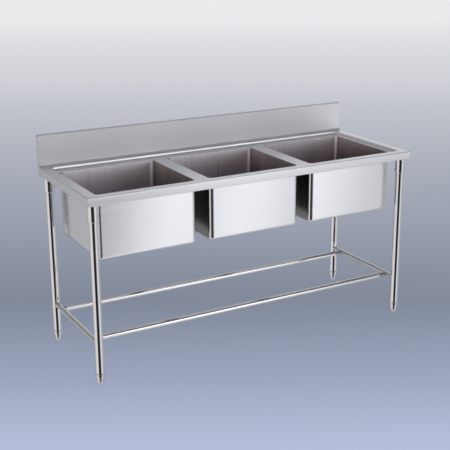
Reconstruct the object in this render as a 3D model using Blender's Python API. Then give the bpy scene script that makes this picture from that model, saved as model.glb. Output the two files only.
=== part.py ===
"""Three compartment catering sink: a folded deck with three bowls, a backsplash, tube legs and screw feet.

Metres, +Z up. The origin is on the floor under the middle of the deck. +X is to the right when facing the
sink, and the backsplash is on the +Y side.
"""

import math

import bmesh
import bpy

# Overall
LENGTH = 1.680
DEPTH = 0.620
RIM_HEIGHT = 0.850
SPLASH_TOP = 1.000
SHEET = 0.0015
GAP = 0.0003

# Deck: a raised rim around a sunk working face
APRON_DROP = 0.038
HEM_DEPTH = 0.010
RIM_WIDTH = 0.042
RIM_STEP = 0.012
RIM_CORNER = 0.020
DECK_CORNER = 0.004
FOLD = 0.0025

# Backsplash
SPLASH_DEPTH = 0.022
SPLASH_RETURN = 0.028
SPLASH_COVE = 0.014
COVE_LIP = 0.0008
COVE_STEPS = 4

# Bowls
BOWL_LENGTH = 0.468
BOWL_PITCH = 0.538
BOWL_FRONT = -0.230
BOWL_BACK = 0.210
BOWL_CORNER = 0.020
BOWL_FOLD = 0.015
BOWL_FLANGE = 0.008
BOWL_FLOOR = 0.546
FLOOR_FALL = 0.004
DRAIN_SEAT = 0.0035
SEAT_RADIUS = 0.062
DRAIN_HOLE = 0.046

# Drain fitting
CUP_RADIUS = 0.0445
CUP_BORE = 0.0425
CUP_DEPTH = 0.040
TAIL_RADIUS = 0.0225
TAIL_BORE = 0.020
TAIL_LENGTH = 0.022
FLANGE_RADIUS = 0.060
FLANGE_THICKNESS = 0.002
GASKET_THICKNESS = 0.003
GASKET_RADIUS = 0.056
NUT_HEIGHT = 0.010
NUT_RADIUS = 0.0535
NUT_LUG = 0.0045
BASKET_RIM = 0.048
BASKET_RADIUS = 0.040
BASKET_DEPTH = 0.032
BASKET_SHEET = 0.0014
BASKET_HOLE = 0.004
BASKET_HOLES = 8
HOLE_RING = 0.0292
SEAL_RADIUS = 0.0235
SEAL_THICKNESS = 0.003

# Legs
LEG_X = 0.806
LEG_FRONT = -0.275
LEG_REAR = 0.262
LEG_RADIUS = 0.019
LEG_BORE = 0.0175
LEG_BOTTOM = 0.0523
SOCKET_RADIUS = 0.023
SOCKET_BORE = 0.0194
SOCKET_BOTTOM = 0.738
SOCKET_LID = 0.003
SCREW_HEIGHT = 0.760
SCREW_RADIUS = 0.004
SCREW_LENGTH = 0.0065

# Under-deck channels that carry the sockets
CHANNEL_WIDTH = 0.046
CHANNEL_HALF_RUN = 0.300
CHANNEL_BASE = 0.816

# Screw feet
COLLAR_BOTTOM = 0.040
COLLAR_TOP = 0.052
COLLAR_RADIUS = 0.0215
SHELL_RADIUS = 0.0185
TIP_RADIUS = 0.0120
INSERT_HEIGHT = 0.020
STEM_RADIUS = 0.006
STEM_CLEARANCE = 0.0003
STEM_BOTTOM = 0.030
STEM_TOP = 0.112

# Stretchers and rails
RAIL_HEIGHT = 0.186
RAIL_RADIUS = 0.0127
RAIL_BORE = 0.0112
RAIL_FRONT = -0.208
RAIL_REAR = 0.180
STUB_RADIUS = 0.0105
STUB_INSIDE = 0.030
STUB_SHORT = 0.004
STUB_LONG = 0.040

TUBE_SIDES = 20
DRAIN_SIDES = 20
SMALL_SIDES = 12
CORNER_STEPS = 4
BOWL_CORNER_STEPS = 4


def material(name, colour, roughness, metallic):
    made = bpy.data.materials.new(name)
    made.use_nodes = True
    shader = made.node_tree.nodes["Principled BSDF"]
    shader.inputs["Base Color"].default_value = (*colour, 1.0)
    shader.inputs["Roughness"].default_value = roughness
    shader.inputs["Metallic"].default_value = metallic
    made.diffuse_color = (*colour, 1.0)
    return made


def empty(name, location):
    marker = bpy.data.objects.new(name, None)
    marker.location = location
    bpy.context.collection.objects.link(marker)
    return marker


def piece(name, mesh, finish, location=(0, 0, 0), parent=None):
    made = bpy.data.objects.new(name, mesh)
    made.location = location
    made.parent = parent
    mesh.materials.append(finish)
    bpy.context.collection.objects.link(made)
    return made


def skin(name, loops, ring=False):
    """A closed mesh through equal loops of points, with flat ends, or with the last loop joined to the first."""
    bm = bmesh.new()
    rows = [[bm.verts.new(point) for point in loop] for loop in loops]
    pairs = list(zip(rows, rows[1:]))
    if ring:
        pairs.append((rows[-1], rows[0]))
    else:
        bm.faces.new(rows[0])
        bm.faces.new(rows[-1])
    for lower, upper in pairs:
        for i, start in enumerate(lower):
            after = (i + 1) % len(lower)
            bm.faces.new((start, lower[after], upper[after], upper[i]))
    bmesh.ops.recalc_face_normals(bm, faces=bm.faces)
    mesh = bpy.data.meshes.new(name)
    bm.to_mesh(mesh)
    bm.free()
    mesh.shade_smooth()
    mesh.set_sharp_from_angle(angle=math.radians(35))
    return mesh


def circle(radius, z, sides, lug=0.0, lug_every=5):
    """Points around the Z axis. A lug lifts every fifth pair of points by that much."""
    points = []
    for i in range(sides):
        turn = 2 * math.pi * (i + 0.5) / sides
        reach = radius + (lug if i % lug_every < 2 else 0.0)
        points.append((reach * math.cos(turn), reach * math.sin(turn), z))
    return points


def turned(name, profile, sides, ring=False):
    """A lathe shape from (radius, z) points."""
    return skin(name, [circle(radius, z, sides) for radius, z in profile], ring)


def tube(name, radius, bore, z0, z1, sides=TUBE_SIDES):
    return turned(name, [(radius, z0), (radius, z1), (bore, z1), (bore, z0)], sides, ring=True)


def rod(name, radius, z0, z1, sides=SMALL_SIDES):
    return turned(name, [(radius, z0), (radius, z1)], sides)


def rounded(x0, x1, y0, y1, radius, z, steps):
    """A rectangle with rounded corners, counter-clockwise from the corner at +X +Y."""
    centres = (
        (x1 - radius, y1 - radius),
        (x0 + radius, y1 - radius),
        (x0 + radius, y0 + radius),
        (x1 - radius, y0 + radius),
    )
    points = []
    for corner, (x, y) in enumerate(centres):
        for step in range(steps + 1):
            turn = math.pi / 2 * (corner + step / steps)
            points.append((x + radius * math.cos(turn), y + radius * math.sin(turn), z))
    return points


def drawn_along_x(name, section, x0, x1):
    """A straight length of the given (y, z) section."""
    return skin(name, [[(x, y, z) for y, z in section] for x in (x0, x1)])


def cutter(name, mesh, location=(0, 0, 0), rotation=(0, 0, 0), parent=None):
    made = bpy.data.objects.new(name, mesh)
    made.location = location
    made.rotation_euler = rotation
    made.parent = parent
    made.hide_render = True
    made.display_type = "WIRE"
    bpy.context.collection.objects.link(made)
    return made


def cut(target, tool):
    modifier = target.modifiers.new("cut_" + tool.name, "BOOLEAN")
    modifier.operation = "DIFFERENCE"
    modifier.solver = "EXACT"
    modifier.object = tool


def clear_scene():
    for leftover in list(bpy.data.objects):
        bpy.data.objects.remove(leftover, do_unlink=True)


clear_scene()

satin = material("satin_steel", (0.72, 0.72, 0.74), 0.30, 1.0)
brushed = material("brushed_steel", (0.62, 0.61, 0.60), 0.38, 1.0)
polished = material("polished_tube", (0.78, 0.78, 0.80), 0.12, 1.0)
zinc = material("zinc_plate", (0.58, 0.58, 0.60), 0.42, 1.0)
rubber = material("black_rubber", (0.03, 0.03, 0.03), 0.80, 0.0)
nylon = material("grey_nylon", (0.25, 0.25, 0.26), 0.55, 0.0)


# The deck, one sheet: hem, apron, rim, step and sunk face, on top and then back along the underside.
def deck_loop(inset, radius, z):
    half = LENGTH / 2 - inset
    reach = DEPTH / 2 - inset
    return rounded(-half, half, -reach, reach, radius, z, CORNER_STEPS)


INNER = RIM_WIDTH - SHEET
BELOW = SHEET + FOLD
deck_steps = (
    (RIM_WIDTH + SHEET, RIM_CORNER - SHEET, -RIM_STEP),
    (RIM_WIDTH, RIM_CORNER, SHEET - RIM_STEP),
    (RIM_WIDTH, RIM_CORNER, -SHEET),
    (RIM_WIDTH - SHEET, RIM_CORNER + SHEET, 0),
    (FOLD, DECK_CORNER - FOLD, 0),
    (FOLD * 0.3, DECK_CORNER - FOLD * 0.3, -FOLD * 0.3),
    (0, DECK_CORNER, -FOLD),
    (0, DECK_CORNER, SHEET - APRON_DROP),
    (SHEET, DECK_CORNER - SHEET, -APRON_DROP),
    (HEM_DEPTH, SHEET / 2, -APRON_DROP),
    (HEM_DEPTH, SHEET / 2, SHEET - APRON_DROP),
    (BELOW, SHEET / 2, SHEET - APRON_DROP),
    (SHEET, DECK_CORNER - SHEET, BELOW - APRON_DROP),
    (SHEET, DECK_CORNER - SHEET, -BELOW),
    (BELOW, SHEET / 2, -SHEET),
    (INNER - SHEET, RIM_CORNER + 2 * SHEET, -SHEET),
    (INNER, RIM_CORNER + SHEET, -2 * SHEET),
    (INNER, RIM_CORNER + SHEET, -RIM_STEP),
    (RIM_WIDTH, RIM_CORNER, -RIM_STEP - SHEET),
)
deck_mesh = skin("deck", [deck_loop(*step) for step in deck_steps])
deck = piece("deck", deck_mesh, satin, (0, 0, RIM_HEIGHT))

# The backsplash, a folded channel that is open at the back, with a coved foot, and its two end plates.
splash_height = SPLASH_TOP - RIM_HEIGHT - GAP
tight = FOLD - SHEET
cove = [(SPLASH_DEPTH - SHEET, 0), (-SPLASH_COVE, 0)]
for step in range(COVE_STEPS + 1):
    turn = math.pi / 2 * step / COVE_STEPS
    cove.append((SPLASH_COVE * (math.sin(turn) - 1), COVE_LIP + SPLASH_COVE * (1 - math.cos(turn))))
splash_section = (
    *cove,
    (0, splash_height - FOLD),
    (FOLD * 0.3, splash_height - FOLD * 0.3),
    (FOLD, splash_height),
    (SPLASH_DEPTH - FOLD, splash_height),
    (SPLASH_DEPTH - FOLD * 0.3, splash_height - FOLD * 0.3),
    (SPLASH_DEPTH, splash_height - FOLD),
    (SPLASH_DEPTH, splash_height - SPLASH_RETURN),
    (SPLASH_DEPTH - SHEET, splash_height - SPLASH_RETURN),
    (SPLASH_DEPTH - SHEET, splash_height - SHEET - tight),
    (SPLASH_DEPTH - SHEET - tight, splash_height - SHEET),
    (SHEET + tight, splash_height - SHEET),
    (SHEET, splash_height - SHEET - tight),
    (SHEET, SHEET + tight),
    (SHEET + tight, SHEET),
    (SPLASH_DEPTH - SHEET, SHEET),
)
fold_over = splash_section[len(cove) : len(cove) + 6]
end_section = (
    (FOLD / 2, 0),
    (0, FOLD / 2),
    *fold_over,
    (SPLASH_DEPTH, FOLD / 2),
    (SPLASH_DEPTH - FOLD / 2, 0),
)
splash_place = empty("backsplash_foot", (0, DEPTH / 2 - SPLASH_DEPTH, RIM_HEIGHT + GAP))
splash_half = LENGTH / 2 - SHEET - GAP
splash_mesh = drawn_along_x("backsplash", splash_section, -splash_half, splash_half)
piece("backsplash", splash_mesh, satin, parent=splash_place)
for side, name in ((-1, "left"), (1, "right")):
    plate = drawn_along_x("splash_end", end_section, side * LENGTH / 2, side * (LENGTH / 2 - SHEET))
    piece(f"splash_end_{name}", plate, satin, parent=splash_place)


# Bowls. Local Z is zero at the underside of the deck, and X and Y are zero over the drain.
DECK_UNDERSIDE = RIM_HEIGHT - RIM_STEP - SHEET - GAP
BOWL_MIDDLE_Y = (BOWL_FRONT + BOWL_BACK) / 2
BOWL_COUNT_SIDES = 4 * (BOWL_CORNER_STEPS + 1)


def bowl_loop(outset, z):
    half = BOWL_LENGTH / 2 + outset
    reach = (BOWL_BACK - BOWL_FRONT) / 2 + outset
    return rounded(-half, half, -reach, reach, BOWL_CORNER + outset, z, BOWL_CORNER_STEPS)


def bowl_fold(outset, floor):
    """The rounded foot of the wall, as (outset, z) pairs from the wall down to the floor."""
    radius = BOWL_FOLD + outset
    steps = 3
    found = []
    for step in range(steps + 1):
        turn = math.pi / 2 * step / steps
        found.append((outset - radius * (1 - math.cos(turn)), floor + radius * (1 - math.sin(turn))))
    return found


def bowl_mesh():
    floor = BOWL_FLOOR - DECK_UNDERSIDE
    low = floor - FLOOR_FALL
    seat = low - DRAIN_SEAT
    inside = [bowl_loop(*pair) for pair in bowl_fold(0.0, floor)]
    outside = [bowl_loop(*pair) for pair in bowl_fold(SHEET, floor - SHEET)]
    drain_top = (
        (SEAT_RADIUS + SHEET, low),
        (SEAT_RADIUS, low - SHEET),
        (SEAT_RADIUS, seat),
        (DRAIN_HOLE, seat),
    )
    drain_under = (
        (DRAIN_HOLE, seat - SHEET),
        (SEAT_RADIUS + SHEET, seat - SHEET),
        (SEAT_RADIUS + 2 * SHEET, low - 2 * SHEET),
        (SEAT_RADIUS + 3 * SHEET, low - SHEET),
    )
    loops = [bowl_loop(0.0, 0.0)] + inside
    loops += [circle(radius, z, BOWL_COUNT_SIDES) for radius, z in drain_top + drain_under]
    loops += outside[::-1]
    loops += [
        bowl_loop(SHEET, -SHEET),
        bowl_loop(SHEET + BOWL_FLANGE, -SHEET),
        bowl_loop(SHEET + BOWL_FLANGE, 0.0),
    ]
    return skin("bowl", loops, ring=True)


def drain_body_mesh():
    flange = FLANGE_THICKNESS
    lip = FLANGE_THICKNESS * 0.4
    wall = CUP_RADIUS - CUP_BORE
    profile = (
        (CUP_RADIUS, 0),
        (FLANGE_RADIUS, 0),
        (FLANGE_RADIUS, flange - lip),
        (FLANGE_RADIUS - lip, flange),
        (CUP_RADIUS, flange),
        (CUP_BORE, flange - wall),
        (CUP_BORE, wall - CUP_DEPTH),
        (CUP_BORE - wall, -CUP_DEPTH),
        (TAIL_BORE, -CUP_DEPTH),
        (TAIL_BORE, -CUP_DEPTH - TAIL_LENGTH),
        (TAIL_RADIUS, -CUP_DEPTH - TAIL_LENGTH),
        (TAIL_RADIUS, -CUP_DEPTH - wall),
        (CUP_RADIUS - wall, -CUP_DEPTH - wall),
        (CUP_RADIUS, -CUP_DEPTH),
    )
    return turned("drain_body", profile, DRAIN_SIDES, ring=True)


def drain_nut_mesh(top):
    bottom = top - NUT_HEIGHT
    bore = CUP_RADIUS + GAP
    loops = (
        circle(bore, bottom, DRAIN_SIDES),
        circle(NUT_RADIUS, bottom, DRAIN_SIDES, NUT_LUG),
        circle(NUT_RADIUS, top, DRAIN_SIDES, NUT_LUG),
        circle(bore, top, DRAIN_SIDES),
    )
    return skin("drain_nut", loops, ring=True)


def basket_mesh():
    rest = FLANGE_THICKNESS + GAP
    top = rest + BASKET_SHEET
    knob = 0.009
    stalk = 0.004
    floor = BASKET_SHEET - BASKET_DEPTH
    corner = 0.004
    profile = (
        (BASKET_RADIUS - corner, -BASKET_DEPTH),
        (BASKET_RADIUS, corner - BASKET_DEPTH),
        (BASKET_RADIUS, rest),
        (BASKET_RIM, rest),
        (BASKET_RIM, top),
        (BASKET_RADIUS - BASKET_SHEET, top),
        (BASKET_RADIUS - BASKET_SHEET, corner - BASKET_DEPTH),
        (BASKET_RADIUS - BASKET_SHEET - corner, floor),
        (stalk, floor),
        (stalk, -knob),
        (knob, -knob / 2),
        (knob, 0),
        (knob / 2, stalk),
    )
    return turned("strainer_basket", profile, DRAIN_SIDES)


def basket_holes_mesh():
    """One cutter for all the holes in the basket's floor."""
    bm = bmesh.new()
    for i in range(BASKET_HOLES):
        turn = 2 * math.pi * i / BASKET_HOLES
        made = bmesh.ops.create_cone(
            bm,
            cap_ends=True,
            segments=8,
            radius1=BASKET_HOLE,
            radius2=BASKET_HOLE,
            depth=4 * BASKET_HOLE,
        )
        shift = (HOLE_RING * math.cos(turn), HOLE_RING * math.sin(turn), -BASKET_DEPTH)
        bmesh.ops.translate(bm, verts=made["verts"], vec=shift)
    mesh = bpy.data.meshes.new("basket_holes")
    bm.to_mesh(mesh)
    bm.free()
    return mesh


under_seat = -GAP - SHEET - GAP
for index, name in ((-1, "left"), (0, "middle"), (1, "right")):
    centre_x = index * BOWL_PITCH
    opening = rounded(
        -BOWL_LENGTH / 2,
        BOWL_LENGTH / 2,
        BOWL_FRONT - BOWL_MIDDLE_Y,
        BOWL_BACK - BOWL_MIDDLE_Y,
        BOWL_CORNER,
        0.0,
        BOWL_CORNER_STEPS,
    )
    block = skin("opening", [[(x, y, z) for x, y, _ in opening] for z in (-0.03, 0.02)])
    tool = cutter(f"opening_{name}", block, (centre_x, BOWL_MIDDLE_Y, RIM_HEIGHT - RIM_STEP))
    cut(deck, tool)

    top = empty(f"bowl_{name}_top", (centre_x, BOWL_MIDDLE_Y, DECK_UNDERSIDE))
    piece(f"bowl_{name}", bowl_mesh(), brushed, parent=top)

    seat_height = BOWL_FLOOR - FLOOR_FALL - DRAIN_SEAT + GAP
    drain = empty(f"drain_{name}_seat", (centre_x, BOWL_MIDDLE_Y, seat_height))
    piece(f"drain_body_{name}", drain_body_mesh(), polished, parent=drain)
    gasket = tube(
        "drain_gasket",
        GASKET_RADIUS,
        CUP_RADIUS + GAP,
        under_seat - GASKET_THICKNESS,
        under_seat,
        DRAIN_SIDES,
    )
    piece(f"drain_gasket_{name}", gasket, rubber, parent=drain)
    nut = drain_nut_mesh(under_seat - GASKET_THICKNESS - GAP)
    piece(f"drain_nut_{name}", nut, zinc, parent=drain)
    basket = piece(f"strainer_basket_{name}", basket_mesh(), polished, parent=drain)
    holes = cutter(f"basket_holes_{name}", basket_holes_mesh(), parent=drain)
    cut(basket, holes)
    seal_top = -BASKET_DEPTH - GAP
    seal = rod("strainer_seal", SEAL_RADIUS, seal_top - SEAL_THICKNESS, seal_top, DRAIN_SIDES)
    piece(f"strainer_seal_{name}", seal, rubber, parent=drain)

# Legs, sockets and screw feet. Each leg's empty stands on the floor on the leg's own axis.
SOCKET_TOP = CHANNEL_BASE - GAP
LEG_TOP = SOCKET_TOP - SOCKET_LID - GAP
socket_profile = (
    (SOCKET_RADIUS, SOCKET_TOP),
    (SOCKET_RADIUS, SOCKET_BOTTOM + FOLD),
    (SOCKET_RADIUS - FOLD, SOCKET_BOTTOM),
    (SOCKET_BORE, SOCKET_BOTTOM),
    (SOCKET_BORE, SOCKET_TOP - SOCKET_LID),
)
shell_profile = (
    (TIP_RADIUS * 0.6, 0.0),
    (TIP_RADIUS, 0.0025),
    (TIP_RADIUS + 0.002, 0.008),
    (SHELL_RADIUS - 0.001, 0.028),
    (SHELL_RADIUS, COLLAR_BOTTOM),
    (COLLAR_RADIUS, COLLAR_BOTTOM + 0.001),
    (COLLAR_RADIUS, COLLAR_TOP - 0.001),
    (COLLAR_RADIUS - 0.001, COLLAR_TOP),
    (STEM_RADIUS + STEM_CLEARANCE, COLLAR_TOP),
    (STEM_RADIUS + STEM_CLEARANCE, STEM_BOTTOM - GAP),
)
screw_profile = (
    (SCREW_RADIUS * 0.7, 0.0),
    (SCREW_RADIUS, SCREW_RADIUS * 0.3),
    (SCREW_RADIUS, SCREW_LENGTH),
    (SCREW_RADIUS * 0.5, SCREW_LENGTH),
    (SCREW_RADIUS * 0.5, SCREW_LENGTH * 0.6),
)
for side, side_name in ((-1, "left"), (1, "right")):
    for leg_y, end_name in ((LEG_FRONT, "front"), (LEG_REAR, "rear")):
        name = f"{end_name}_{side_name}"
        axis = empty(f"leg_{name}_axis", (side * LEG_X, leg_y, 0))
        piece(f"leg_{name}", tube("leg", LEG_RADIUS, LEG_BORE, LEG_BOTTOM, LEG_TOP), polished, parent=axis)
        socket_mesh = turned("leg_socket", socket_profile, TUBE_SIDES)
        socket = piece(f"leg_socket_{name}", socket_mesh, polished, parent=axis)
        inward = (0, -side * math.pi / 2, 0)
        drill_mesh = rod("drill", SCREW_RADIUS + GAP, LEG_BORE, 2 * SOCKET_RADIUS)
        drill = cutter(f"drill_{name}", drill_mesh, (0, 0, SCREW_HEIGHT), inward, axis)
        cut(socket, drill)
        screw = piece(
            f"socket_screw_{name}",
            turned("socket_screw", screw_profile, SMALL_SIDES),
            zinc,
            (-side * (LEG_RADIUS + GAP), 0, SCREW_HEIGHT),
            axis,
        )
        screw.rotation_euler = inward
        insert_z = COLLAR_TOP + GAP
        insert = tube(
            "foot_insert",
            LEG_BORE - GAP,
            STEM_RADIUS + STEM_CLEARANCE,
            insert_z,
            insert_z + INSERT_HEIGHT,
            TUBE_SIDES,
        )
        piece(f"foot_insert_{name}", insert, nylon, parent=axis)
        stem = rod("foot_stem", STEM_RADIUS, STEM_BOTTOM, STEM_TOP, TUBE_SIDES)
        piece(f"foot_stem_{name}", stem, zinc, parent=axis)
        piece(f"foot_shell_{name}", turned("foot_shell", shell_profile, TUBE_SIDES), polished, parent=axis)

# Channels under the ends of the deck.
channel_top = DECK_UNDERSIDE - CHANNEL_BASE
channel_outer_top = RIM_HEIGHT - SHEET - GAP - CHANNEL_BASE
for side, name in ((-1, "left"), (1, "right")):
    half = CHANNEL_WIDTH / 2
    section = (
        (-side * half, 0),
        (side * half, 0),
        (side * half, channel_outer_top),
        (side * (half - SHEET), channel_outer_top),
        (side * (half - SHEET), SHEET),
        (-side * (half - SHEET), SHEET),
        (-side * (half - SHEET), channel_top),
        (-side * half, channel_top),
    )
    loops = [[(x, y, z) for x, z in section] for y in (-CHANNEL_HALF_RUN, CHANNEL_HALF_RUN)]
    piece(f"channel_{name}", skin("channel", loops), zinc, (side * LEG_X, 0, CHANNEL_BASE))

# Side stretchers, coped around the legs. Their meshes run along local Z, which is turned to lie along Y.
ALONG_Y = (-math.pi / 2, 0, 0)
ALONG_X = (0, math.pi / 2, 0)
for side, name in ((-1, "left"), (1, "right")):
    stretcher = piece(
        f"side_stretcher_{name}",
        tube("side_stretcher", RAIL_RADIUS, RAIL_BORE, LEG_FRONT, LEG_REAR),
        polished,
        (side * LEG_X, 0, RAIL_HEIGHT),
    )
    stretcher.rotation_euler = ALONG_Y
    for leg_y, end_name in ((LEG_FRONT, "front"), (LEG_REAR, "rear")):
        cope_mesh = rod("cope", LEG_RADIUS + GAP, -2 * RAIL_RADIUS, 2 * RAIL_RADIUS, TUBE_SIDES)
        place = (side * LEG_X, leg_y, RAIL_HEIGHT)
        cut(stretcher, cutter(f"cope_{end_name}_{name}", cope_mesh, place))

# Long rails between the side stretchers, and the stubs that join them.
rail_left = RAIL_RADIUS + STUB_SHORT - LEG_X
rail_right = LEG_X - RAIL_RADIUS - STUB_LONG
for rail_y, end_name in ((RAIL_FRONT, "front"), (RAIL_REAR, "rear")):
    rail = piece(
        f"long_rail_{end_name}",
        tube("long_rail", RAIL_RADIUS, RAIL_BORE, rail_left, rail_right),
        polished,
        (0, rail_y, RAIL_HEIGHT),
    )
    rail.rotation_euler = ALONG_X
    stubs = (
        ("left", -LEG_X, rail_left + STUB_INSIDE),
        ("right", rail_right - STUB_INSIDE, LEG_X),
    )
    for (name, start, stop), side in zip(stubs, (-1, 1)):
        stub = piece(
            f"rail_stub_{end_name}_{name}",
            rod("rail_stub", STUB_RADIUS, start, stop, TUBE_SIDES),
            zinc,
            (0, rail_y, RAIL_HEIGHT),
        )
        stub.rotation_euler = ALONG_X
        saddle_mesh = rod("saddle", RAIL_RADIUS + GAP, -2 * RAIL_RADIUS, 2 * RAIL_RADIUS, TUBE_SIDES)
        place = (side * LEG_X, rail_y, RAIL_HEIGHT)
        cut(stub, cutter(f"saddle_{end_name}_{name}", saddle_mesh, place, ALONG_Y))
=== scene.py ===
"""Three compartment catering sink in brushed and polished stainless steel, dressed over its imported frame."""

import math

import bmesh
import bpy
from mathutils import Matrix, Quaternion, Vector


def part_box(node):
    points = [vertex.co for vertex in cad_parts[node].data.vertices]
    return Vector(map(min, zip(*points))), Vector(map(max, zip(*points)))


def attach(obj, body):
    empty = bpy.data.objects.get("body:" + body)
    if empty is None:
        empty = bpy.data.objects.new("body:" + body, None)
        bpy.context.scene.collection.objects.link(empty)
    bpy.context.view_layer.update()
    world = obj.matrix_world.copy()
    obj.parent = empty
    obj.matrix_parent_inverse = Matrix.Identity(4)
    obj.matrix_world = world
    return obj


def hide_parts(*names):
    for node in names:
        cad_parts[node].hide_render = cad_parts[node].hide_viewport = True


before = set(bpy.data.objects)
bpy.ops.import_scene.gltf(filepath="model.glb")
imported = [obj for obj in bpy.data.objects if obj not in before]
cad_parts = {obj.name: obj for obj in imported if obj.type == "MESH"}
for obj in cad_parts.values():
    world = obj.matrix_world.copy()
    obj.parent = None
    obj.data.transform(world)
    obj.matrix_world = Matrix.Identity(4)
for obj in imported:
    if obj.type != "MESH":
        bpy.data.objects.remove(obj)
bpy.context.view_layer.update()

ENDS = ("front", "rear")
SIDES = ("left", "right")
OUTWARD = {"left": -1, "right": 1}
CORNERS = [f"{end}_{side}" for end in ENDS for side in SIDES]
BOWLS = ("left", "middle", "right")
SHEET = 0.0015
FRAME_BODY = "sink_frame"

TUBE_SIDES = 48
ROUND_SIDES = 56
SMALL_SIDES = 24


# Shader maths


class Varying:
    """One output of a shader node. Sums and products of it add the nodes that work them out."""

    def __init__(self, tree, socket=None):
        self.tree = tree
        self.socket = socket

    def add(self, kind, settings=None, inputs=None, output=0):
        """A new node of that kind, its settings set first, then the values or links of its sockets."""
        made = self.tree.nodes.new(kind)
        for name, value in (settings or {}).items():
            if name == "stops":
                ramp = made.color_ramp
                while len(ramp.elements) < len(value):
                    ramp.elements.new(0.5)
                for element, (place, shade) in zip(ramp.elements, value):
                    element.position = place
                    element.color = (*(shade if isinstance(shade, tuple) else (shade,) * 3), 1.0)
            else:
                setattr(made, name, value)
        for name, value in (inputs or {}).items():
            if isinstance(value, Varying):
                self.tree.links.new(value.socket, made.inputs[name])
            else:
                made.inputs[name].default_value = value
        return Varying(self.tree, made.outputs[output])

    def maths(self, operation, first, second):
        return self.add("ShaderNodeMath", {"operation": operation}, {0: first, 1: second})

    def __add__(self, other):
        return self.maths("ADD", self, other)

    def __radd__(self, other):
        return self.maths("ADD", other, self)

    def __sub__(self, other):
        return self.maths("SUBTRACT", self, other)

    def __rsub__(self, other):
        return self.maths("SUBTRACT", other, self)

    def __mul__(self, other):
        return self.maths("MULTIPLY", self, other)

    def __rmul__(self, other):
        return self.maths("MULTIPLY", other, self)

    def __truediv__(self, other):
        return self.maths("DIVIDE", self, other)

    def ramp(self, *stops):
        return self.add("ShaderNodeValToRGB", {"stops": stops}, {0: self})

    def blend(self, low, high):
        """From one colour to another as this goes from 0 to 1."""
        sockets = {0: self, 6: (*low, 1.0), 7: (*high, 1.0)}
        return self.add("ShaderNodeMix", {"data_type": "RGBA"}, sockets, output=2)

    def stretched(self, scale):
        """A vector with each part multiplied by its own number."""
        return self.add("ShaderNodeVectorMath", {"operation": "MULTIPLY"}, {0: self, 1: scale})

    def noise(self, scale, detail=2.0, roughness=0.5):
        sockets = {"Vector": self, "Scale": scale, "Detail": detail, "Roughness": roughness}
        return self.add("ShaderNodeTexNoise", None, sockets)

    def relief(self, distance, strength=1.0):
        """The surface normal, raised by this height."""
        sockets = {"Height": self, "Distance": distance, "Strength": strength}
        return self.add("ShaderNodeBump", None, sockets)

    def parts(self):
        """The X, Y and Z of a vector, each on its own."""
        split = self.add("ShaderNodeSeparateXYZ", None, {0: self}).socket.node
        return [Varying(self.tree, split.outputs[axis]) for axis in "XYZ"]


def blank_finish(name, metallic=0.0, **fixed):
    """A new material, its shader, and the place on the object, to build the rest from."""
    made = bpy.data.materials.new(name)
    made.use_nodes = True
    shader = made.node_tree.nodes["Principled BSDF"]
    shader.inputs["Metallic"].default_value = metallic
    for socket, value in fixed.items():
        shader.inputs[socket.replace("_", " ")].default_value = value
    spot = Varying(made.node_tree).add("ShaderNodeTexCoord", output="Object")
    return made, shader, spot


def feed(shader, name, value):
    value.tree.links.new(value.socket, shader.inputs[name])


def brushed_steel(name, dull, bright, roughness, along, grain=1.0, streaky=1.0):
    """Stainless sheet, brushed along one axis: long fine lines, broader streaks and a few wiped patches."""
    made, shader, spot = blank_finish(name, metallic=1.0)
    fine = tuple(9.0 if axis == along else 1400.0 for axis in "XYZ")
    broad = tuple(1.1 if axis == along else 70.0 for axis in "XYZ")
    lines = spot.stretched(fine).noise(1.0, detail=3.0, roughness=0.6)
    streaks = spot.stretched(broad).noise(1.0, detail=2.0, roughness=0.55)
    wiped = spot.noise(5.5, detail=3.0, roughness=0.6)
    tone = streaks * 0.5 + lines * 0.35 + wiped * 0.15
    feed(shader, "Base Color", tone.ramp((0.3, 0.0), (0.7, 1.0)).blend(dull, bright))
    uneven = (streaks - 0.5) * (0.05 * streaky) + (lines - 0.5) * 0.05 + (wiped - 0.5) * 0.06
    feed(shader, "Roughness", uneven + roughness)
    height = lines * 0.8 + streaks * 0.2
    feed(shader, "Normal", height.relief(0.00008 * grain, 0.3))
    return made


def polished_steel(name, dull, bright, roughness):
    """Tube polished along its length: near mirror, with faint drawn lines and finger smears."""
    made, shader, spot = blank_finish(name, metallic=1.0)
    drawn = spot.stretched((420.0, 420.0, 5.0)).noise(1.0, detail=2.0)
    smears = spot.noise(26.0, detail=4.0, roughness=0.65)
    tone = (drawn * 0.5 + smears * 0.5).ramp((0.35, 0.0), (0.65, 1.0))
    feed(shader, "Base Color", tone.blend(dull, bright))
    smeared = smears.ramp((0.5, 0.0), (0.8, 1.0)) * 0.07
    feed(shader, "Roughness", (drawn - 0.5) * 0.04 + smeared + roughness)
    feed(shader, "Normal", drawn.relief(0.00004, 0.2))
    return made


def cast_finish(name, dull, bright, roughness, metallic, grain, depth):
    """A cast, plated or moulded surface with a fine even grain and soft mottling."""
    made, shader, spot = blank_finish(name, metallic=metallic)
    specks = spot.noise(grain, detail=3.0, roughness=0.6)
    mottle = spot.noise(grain * 0.08, detail=2.0)
    tone = (specks * 0.4 + mottle * 0.6).ramp((0.3, 0.0), (0.7, 1.0))
    feed(shader, "Base Color", tone.blend(dull, bright))
    feed(shader, "Roughness", (specks - 0.5) * 0.2 + (mottle - 0.5) * 0.15 + roughness)
    feed(shader, "Normal", specks.relief(depth, 0.5))
    return made


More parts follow.
